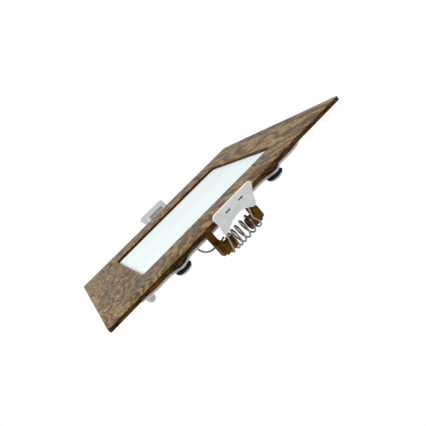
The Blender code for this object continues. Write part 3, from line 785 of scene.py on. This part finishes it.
def make_cover(material):
    """The rear cover: a shell with a rounded rim, its holes, and a field of ribs."""
    top, bottom = COVER_HIGH.z, COVER_LOW.z
    loops = [at_height(housing_outline(0.15 * MM), top), at_height(housing_outline(), top - 0.15 * MM),
             at_height(housing_outline(), bottom + COVER_ROUND)]
    for step in range(1, 6):
        angle = math.radians(90.0 * step / 5.0)
        inset = COVER_ROUND * (1.0 - math.cos(angle))
        loops.append(at_height(housing_outline(inset), bottom + COVER_ROUND * (1.0 - math.sin(angle))))
    cover = loft("rear_cover_shell", loops)
    drills = []
    for index, joint in enumerate(frame["joints"]):
        turn = half_turn(joint)
        hole = turn @ Vector((TAIL_HOLE_X, -TAIL_HOLE_Y, 0.0)) + Vector((joint["pos_m"][0], 0.0, 0.0))
        drills.append(drill(f"tail_drill_{index}", hole, 0.9 * MM))
    gland_x = (GLAND_LOW.x + GLAND_HIGH.x) / 2.0
    drills.append(drill("lead_drill", Vector((gland_x, GLAND_HIGH.y + 5.5 * MM, 0.0)), 1.5 * MM))
    cover = shaded(combined(cover, drills, "DIFFERENCE"), 38.0)
    placed(coated(cover, material), "fixture", "grey_plastic", "rear_cover")
    base = bottom - RIB_SIZE[2] / 2.0 + 0.1 * MM
    rib = block("cover_ribs", (0.0, 0.0, base), RIB_SIZE, 0.25 * MM)
    start = (0.0, -RIB_PITCH * (RIB_COUNT - 1) / 2.0, 0.0)
    ribs = grown(rib, row_tree(), count=RIB_COUNT, start=start, step=(0.0, RIB_PITCH, 0.0), finish=material)
    placed(shaded(ribs), "fixture", "grey_plastic")
    spine_size = (RIB_SIZE[1], RIB_PITCH * (RIB_COUNT - 1), RIB_SIZE[2])
    spine = block("cover_cross_ribs", (0.0, 0.0, base), spine_size, 0.25 * MM)
    spines = grown(spine, row_tree(), count=3, start=(-CROSS_RIB_PITCH, 0.0, 0.0),
                   step=(CROSS_RIB_PITCH, 0.0, 0.0), finish=material)
    placed(shaded(spines), "fixture", "grey_plastic")


def drill(name, place, radius):
    """A cutter for a hole through the cover."""
    top, bottom = COVER_HIGH.z + 1.0 * MM, COVER_LOW.z - 1.0 * MM
    tool = lathe(name, [(0.0, bottom), (radius, bottom), (radius, top), (0.0, top)], 24)
    return moved(tool, Matrix.Translation((place.x, place.y, 0.0)))


# ---------------------------------------------------------------- fasteners and gland

def make_screws(material):
    """Domed cover screws with a cross recess."""
    rim = SCREW_LOW.z + HEAD_HEIGHT
    dome = []
    for step in range(11):
        angle = math.radians(88.0 - 80.0 * step / 10.0)
        dome.append((HEAD_R * math.cos(angle), rim - HEAD_HEIGHT * math.sin(angle)))
    shank = [(HEAD_R - 0.1 * MM, rim), (SHANK_R, rim), (SHANK_R, SCREW_HIGH.z), (0.0, SCREW_HIGH.z)]
    profile = [(0.0, SCREW_LOW.z)] + dome + shank
    screw = lathe("cover_screws", profile)
    bars = []
    for index, (size_x, size_y) in enumerate(((3.4 * MM, 0.75 * MM), (0.75 * MM, 3.4 * MM))):
        size = (size_x, size_y, 2.0 * RECESS_DEPTH)
        bars.append(block(f"recess_{index}", (0.0, 0.0, SCREW_LOW.z), size, 0.12 * MM))
    screw = shaded(combined(screw, bars, "DIFFERENCE"), 38.0)
    screws = grown(screw, corners_tree(), spacing_x=2.0 * SCREW_X, spacing_y=2.0 * SCREW_Y, turn=0.7,
                   finish=material)
    placed(screws, "fixture", "zinc_steel", *[f"cover_screw_{number}" for number in range(1, 5)])


def make_washers(material):
    """Rubber washers, bulged a little where the screws squeeze them."""
    inner, outer = SHANK_R + 0.5 * MM, (WASHER_HIGH.x - WASHER_LOW.x) / 2.0
    low, high = WASHER_LOW.z, WASHER_HIGH.z
    middle, half = (low + high) / 2.0, (high - low) / 2.0
    profile = [(inner, high), (inner, low)]
    for step in range(9):
        angle = math.radians(-90.0 + 180.0 * step / 8.0)
        profile.append((outer - 0.45 * MM * (1.0 - math.cos(angle)), middle + half * math.sin(angle)))
    washer = lathe("cover_washers", profile)
    washers = grown(washer, corners_tree(), spacing_x=2.0 * SCREW_X, spacing_y=2.0 * SCREW_Y, turn=0.4,
                    finish=material)
    placed(washers, "fixture", "black_rubber", *[f"screw_washer_{number}" for number in range(1, 5)])


def make_gland(material):
    """The lead gland: a ribbed tube closed by a membrane, on a small saddle."""
    radius = (GLAND_HIGH.x - GLAND_LOW.x) / 2.0
    length = GLAND_HIGH.y - GLAND_LOW.y
    bore = 1.2 * MM
    profile = [(0.0, 0.45 * MM), (bore - 0.5 * MM, 0.4 * MM), (bore + 0.2 * MM, 0.0),
               (radius - 0.25 * MM, 0.0), (radius, 0.2 * MM), (radius, 1.2 * MM)]
    ribs = 4
    pitch = (length - 2.2 * MM) / ribs
    for number in range(ribs):
        base = 1.2 * MM + number * pitch
        profile += [(radius - 0.35 * MM, base + 0.15 * pitch), (radius - 0.35 * MM, base + 0.45 * pitch),
                    (radius - 0.05 * MM, base + 0.6 * pitch), (radius - 0.05 * MM, base + 0.95 * pitch)]
    profile += [(radius - 0.2 * MM, length), (bore, length), (bore, length - 0.6 * MM),
                (0.0, length - 0.6 * MM)]
    gland = lathe("lead_gland_boot", profile)
    centre_x = (GLAND_LOW.x + GLAND_HIGH.x) / 2.0
    centre_z = GLAND_LOW.z + radius
    lay_down = Matrix.Rotation(math.radians(-90.0), 4, "X")
    moved(gland, Matrix.Translation((centre_x, GLAND_LOW.y, centre_z)) @ lay_down)
    saddle_height = GLAND_HIGH.z - centre_z - bore
    saddle_place = (centre_x, (GLAND_LOW.y + GLAND_HIGH.y) / 2.0, GLAND_HIGH.z - saddle_height / 2.0)
    saddle = block("gland_saddle", saddle_place, (3.4 * MM, 6.0 * MM, saddle_height), 0.2 * MM)
    gland = shaded(combined(gland, [saddle], "UNION"), 38.0)
    placed(coated(gland, material), "fixture", "grey_plastic", "lead_gland")


# ---------------------------------------------------------------- clips

def around_axis(x, angle, radius=COIL_R):
    return Vector((x, radius * math.cos(angle), radius * math.sin(angle)))


def bail_points(left_low, right_low, steps=10):
    """The legs and the crossbar between them, from the left leg's lower end to the right leg's."""
    points = [Vector((LEFT_LEG_X, -COIL_R, left_low))]
    for leg_x, first, inward in ((LEFT_LEG_X, 180.0, 1.0), (RIGHT_LEG_X, 90.0, -1.0)):
        centre = Vector((leg_x + inward * CROSSBAR_BEND, -COIL_R, CROSSBAR_Z - CROSSBAR_BEND))
        for step in range(steps + 1):
            angle = math.radians(first - 90.0 * step / steps)
            points.append(centre + CROSSBAR_BEND * Vector((math.cos(angle), 0.0, math.sin(angle))))
    return points + [Vector((RIGHT_LEG_X, -COIL_R, right_low))]


def coil_x(turns):
    """Where the coil's wire is along the hinge axis, after a number of turns from its right end."""
    return COIL_RIGHT - COIL_PITCH * turns + COIL_TIGHTENING * turns ** 2


def spring_points():
    """One wire: an eye round the left boss, the bail, then the coil from right to left."""
    eye_steps = int(COIL_STEPS * EYE_TURN / (2.0 * math.pi))
    eye = []
    for step in range(eye_steps + 1):
        eye.append(around_axis(LEFT_LEG_X, math.pi + EYE_TURN * (1.0 - step / eye_steps), EYE_R))
    lean = []
    for step in range(1, 8):
        part = step / 8.0
        eased = part * part * (3.0 - 2.0 * part)
        lean_x = RIGHT_LEG_X + (COIL_RIGHT - RIGHT_LEG_X) * eased
        lean.append(Vector((lean_x, -COIL_R, LEG_BEND_Z * (1.0 - part))))
    coil = []
    for step in range(int(COIL_STEPS * COIL_TURNS) + 1):
        turns = step / COIL_STEPS
        coil.append(around_axis(coil_x(turns), math.pi + 2.0 * math.pi * turns))
    return eye + bail_points(LEG_BEND_Z, LEG_BEND_Z) + lean + coil


def tail_points(axis):
    """The wire's fixed end: past the rear of the left arm, then round into the cover's hole."""
    start = around_axis(coil_x(COIL_TURNS), CLIP_TILT, COIL_R + 2.0 * WIRE_R + 0.3 * MM)
    points = [start + Vector((0.0, axis.y, axis.z)), Vector((LEFT_LEG_X, -TAIL_RUN_Y, TAIL_RUN_Z))]
    loop_x = TAIL_HOLE_X + TAIL_LOOP_R
    loop_steps = 24
    for step in range(loop_steps + 1):
        part = step / loop_steps
        angle = math.radians(-90.0 - 90.0 * part)
        y = -TAIL_RUN_Y + (TAIL_RUN_Y - TAIL_HOLE_Y) * part
        points.append(Vector((loop_x + TAIL_LOOP_R * math.cos(angle), y,
                              TAIL_RUN_Z + TAIL_LOOP_R * (1.0 + math.sin(angle)))))
    return points + [Vector((TAIL_HOLE_X, -TAIL_HOLE_Y, (COVER_LOW.z + COVER_HIGH.z) / 2.0))]


def path_object(name, points):
    """An open path as a curve object."""
    data = bpy.data.curves.new(name, "CURVE")
    data.dimensions = "3D"
    spline = data.splines.new("POLY")
    spline.points.add(len(points) - 1)
    for place, point in zip(spline.points, points):
        place.co = (*point, 1.0)
    return add_object(name, data)


def wire(name, points, radius, material, tree, sides=20):
    return grown(path_object(name, points), tree, radius=radius, sides=sides, finish=material)


def arch_z(x):
    return ARCH_TOP_Z - (ARCH_TOP_Z - PADDLE_FOOT_Z) * (x / ARCH_HALF) ** 2


def paddle_half_width(height):
    """The paddle's half-width: flared at the top, waisted below it, and nearly straight to the feet."""
    flare = max(0.0, (height - 21.0 * MM) / (5.5 * MM))
    eased = min(1.0, flare) ** 2 * (3.0 - 2.0 * min(1.0, flare))
    taper = PADDLE_TAPER * (height - PADDLE_FOOT_Z)
    flare_out = PADDLE_TOP_HALF - PADDLE_WAIST_HALF - PADDLE_TAPER * (PADDLE_TOP_Z - PADDLE_FOOT_Z)
    return PADDLE_WAIST_HALF + taper + flare_out * eased


def paddle_outline():
    """x across, y up along the legs."""
    right = []
    corner_x = PADDLE_TOP_HALF - PADDLE_CORNER
    for step in range(9):
        angle = math.radians(90.0 - 90.0 * step / 8.0)
        right.append(Vector((corner_x + PADDLE_CORNER * math.cos(angle),
                             PADDLE_TOP_Z - PADDLE_CORNER * (1.0 - math.sin(angle)))))
    side_low = PADDLE_FOOT_Z + 1.2 * MM
    side_high = PADDLE_TOP_Z - PADDLE_CORNER - 0.4 * MM
    for step in range(13):
        height = side_high + (side_low - side_high) * step / 12.0
        right.append(Vector((paddle_half_width(height), height)))
    right.append(Vector((9.9 * MM, PADDLE_FOOT_Z + 0.25 * MM)))
    right.append(Vector((9.3 * MM, PADDLE_FOOT_Z)))
    left = [Vector((-point.x, point.y)) for point in reversed(right)]
    arch = []
    for step in range(25):
        x = ARCH_HALF - 2.0 * ARCH_HALF * step / 24.0
        arch.append(Vector((x, arch_z(x))))
    return right + arch + left


def make_paddle(joint, body, material, tree):
    """A nylon paddle: a thin rounded plate with a ridge over the wire, and slots that show the wire."""
    name = "nylon_paddle_" + body.removeprefix("clip_")
    plate = slab(name, paddle_outline(), PADDLE_OUTER - PADDLE_THICKNESS, PADDLE_OUTER, 0.2 * MM, 2)
    moved(plate, Matrix.Rotation(math.radians(90.0), 4, "X"))
    ridge_path = bail_points(PADDLE_FOOT_Z + 0.35 * MM, arch_z(RIGHT_LEG_X) + 0.35 * MM)
    ridge = wire("ridge", ridge_path, 1.33 * MM, None, tree)
    tunnel = wire("tunnel", bail_points(LEG_BEND_Z, LEG_BEND_Z), WIRE_R + 0.25 * MM, None, tree)
    slots = []
    for sign in (-1.0, 1.0):
        place = (sign * SLOT_X, -PADDLE_OUTER, CROSSBAR_Z + 0.4 * MM)
        slots.append(block(f"slot_{sign:.0f}", place, SLOT_SIZE, 0.2 * MM))
    paddle = combined(plate, [ridge], "UNION")
    paddle = combined(paddle, [tunnel] + slots, "DIFFERENCE")
    remesh = paddle.modifiers.new("moulded", "REMESH")
    remesh.mode = "VOXEL"
    remesh.voxel_size = 0.16 * MM
    smooth = paddle.modifiers.new("soft", "SMOOTH")
    smooth.iterations = 5
    paddle = shaded(baked(paddle), 60.0)
    moved(paddle, clip_frame(joint))
    placed(coated(paddle, material), body, "nylon", "clip_paddle_" + body.removeprefix("clip_"))


def clip_frame(joint):
    return Matrix.Translation(joint["pos_m"]) @ half_turn(joint) @ Matrix.Rotation(CLIP_TILT, 4, "X")


def make_clip(joint, steel, white):
    """A clip's spring and paddle, which ride on the clip, and the wire's fixed end, on the light."""
    tree = wire_tree()
    body = joint["child"]
    side = body.removeprefix("clip_")
    spring = wire(f"spring_wire_{side}", spring_points(), WIRE_R, steel, tree)
    moved(spring, clip_frame(joint))
    placed(spring, body, "spring_steel", f"clip_spring_{side}")
    make_paddle(joint, body, white, tree)
    axis = Vector(near_joint()["pos_m"])
    tail = wire(f"spring_tail_wire_{side}", tail_points(axis), WIRE_R, steel, tree)
    moved(tail, Matrix.Translation((joint["pos_m"][0], 0.0, 0.0)) @ half_turn(joint))
    placed(tail, "fixture", "spring_steel", f"spring_tail_{side}")


# ---------------------------------------------------------------- stage

def make_stage():
    """A plain floor and room, which the camera sees as white and which light at a lower strength."""
    bpy.ops.mesh.primitive_plane_add(size=12.0, location=(0.0, 0.0, FLOOR_Z))
    floor = bpy.context.object
    floor.name = "floor"
    pale = Finish("floor_white", base_color=(0.75, 0.75, 0.75, 1.0), roughness=0.9)
    white = pale.add("ShaderNodeEmission")
    seen = pale.add("ShaderNodeLightPath")
    shaded_floor = Signal(pale, pale.shader.outputs[0])
    both = pale.add("ShaderNodeMixShader", None, {0: seen, 1: shaded_floor, 2: white})
    pale.tree.links.new(both.socket, pale.tree.nodes["Material Output"].inputs["Surface"])
    floor.data.materials.append(pale.material)
    world = bpy.data.worlds.new("white_room")
    world.use_nodes = True
    room = Graph(world.node_tree)
    seen = room.add("ShaderNodeLightPath")
    strength = ROOM_LIGHT + (1.0 - ROOM_LIGHT) * seen
    background = room.tree.nodes["Background"]
    background.inputs["Color"].default_value = (1.0, 1.0, 1.0, 1.0)
    room.tree.links.new(strength.socket, background.inputs["Strength"])
    bpy.context.scene.world = world
    lamp("key", (-0.72, -0.02, 0.75), 0.6, 10.0)
    lamp("fill", (0.8, -0.5, 0.25), 0.8, 3.0)


def lamp(name, place, size, power):
    data = bpy.data.lights.new(name, "AREA")
    data.size = size
    data.energy = power
    lamp_object = add_object(name, data)
    lamp_object.location = place
    lamp_object.rotation_euler = (-Vector(place)).to_track_quat("-Z", "Y").to_euler()


def make_camera():
    """A close, rolled view from just above the bezel's plane."""
    data = bpy.data.cameras.new("camera")
    data.lens = 38.69
    data.shift_x = -0.0164
    data.shift_y = 0.1643
    data.clip_start = 0.005
    camera = add_object("camera", data)
    camera.location = (-0.0606, -0.2659, 0.0464)
    camera.rotation_euler = Euler([math.radians(angle) for angle in (64.916, 40.533, -26.925)])
    bpy.context.scene.camera = camera


def dress_cad_nodes(finishes):
    """The frame's own pieces get the finish of their slot, where there is one."""
    for entry in frame["record"]["subparts"]:
        node = frame["nodes"][entry["node"]]
        if entry["material_slot"] in finishes:
            node.data.materials.clear()
            node.data.materials.append(finishes[entry["material_slot"]])


def main():
    bpy.context.scene.view_settings.view_transform = "Standard"
    make_camera()
    make_stage()
    finishes = {
        "wood_film": wood_film(),
        "brown_plastic": brown_plastic(),
        "opal_acrylic": opal_sheet(),
        "clear_acrylic": light_guide(),
        "white_film": moulded("white_film", (0.86, 0.87, 0.87), (0.93, 0.93, 0.92), 0.6),
        "led_board": led_board(),
        "led_package": led_package(),
        "grey_plastic": moulded("grey_plastic", (0.64, 0.68, 0.72), (0.74, 0.77, 0.80), 0.4),
        "black_rubber": rubber(),
        "zinc_steel": plated("zinc_steel", (0.50, 0.56, 0.60), (0.68, 0.72, 0.74), 0.36),
        "brass": plated("brass", (0.55, 0.38, 0.14), (0.78, 0.58, 0.26), 0.32),
        "spring_steel": spring_steel(),
        "nylon": nylon(),
    }
    dress_cad_nodes(finishes)
    make_wood_face(finishes["wood_film"])
    make_bezel_body(finishes["brown_plastic"])
    make_housing(finishes["brown_plastic"])
    make_cover(finishes["grey_plastic"])
    make_screws(finishes["zinc_steel"])
    make_washers(finishes["black_rubber"])
    make_gland(finishes["grey_plastic"])
    for joint in frame["joints"]:
        make_clip(joint, finishes["spring_steel"], finishes["nylon"])


main()
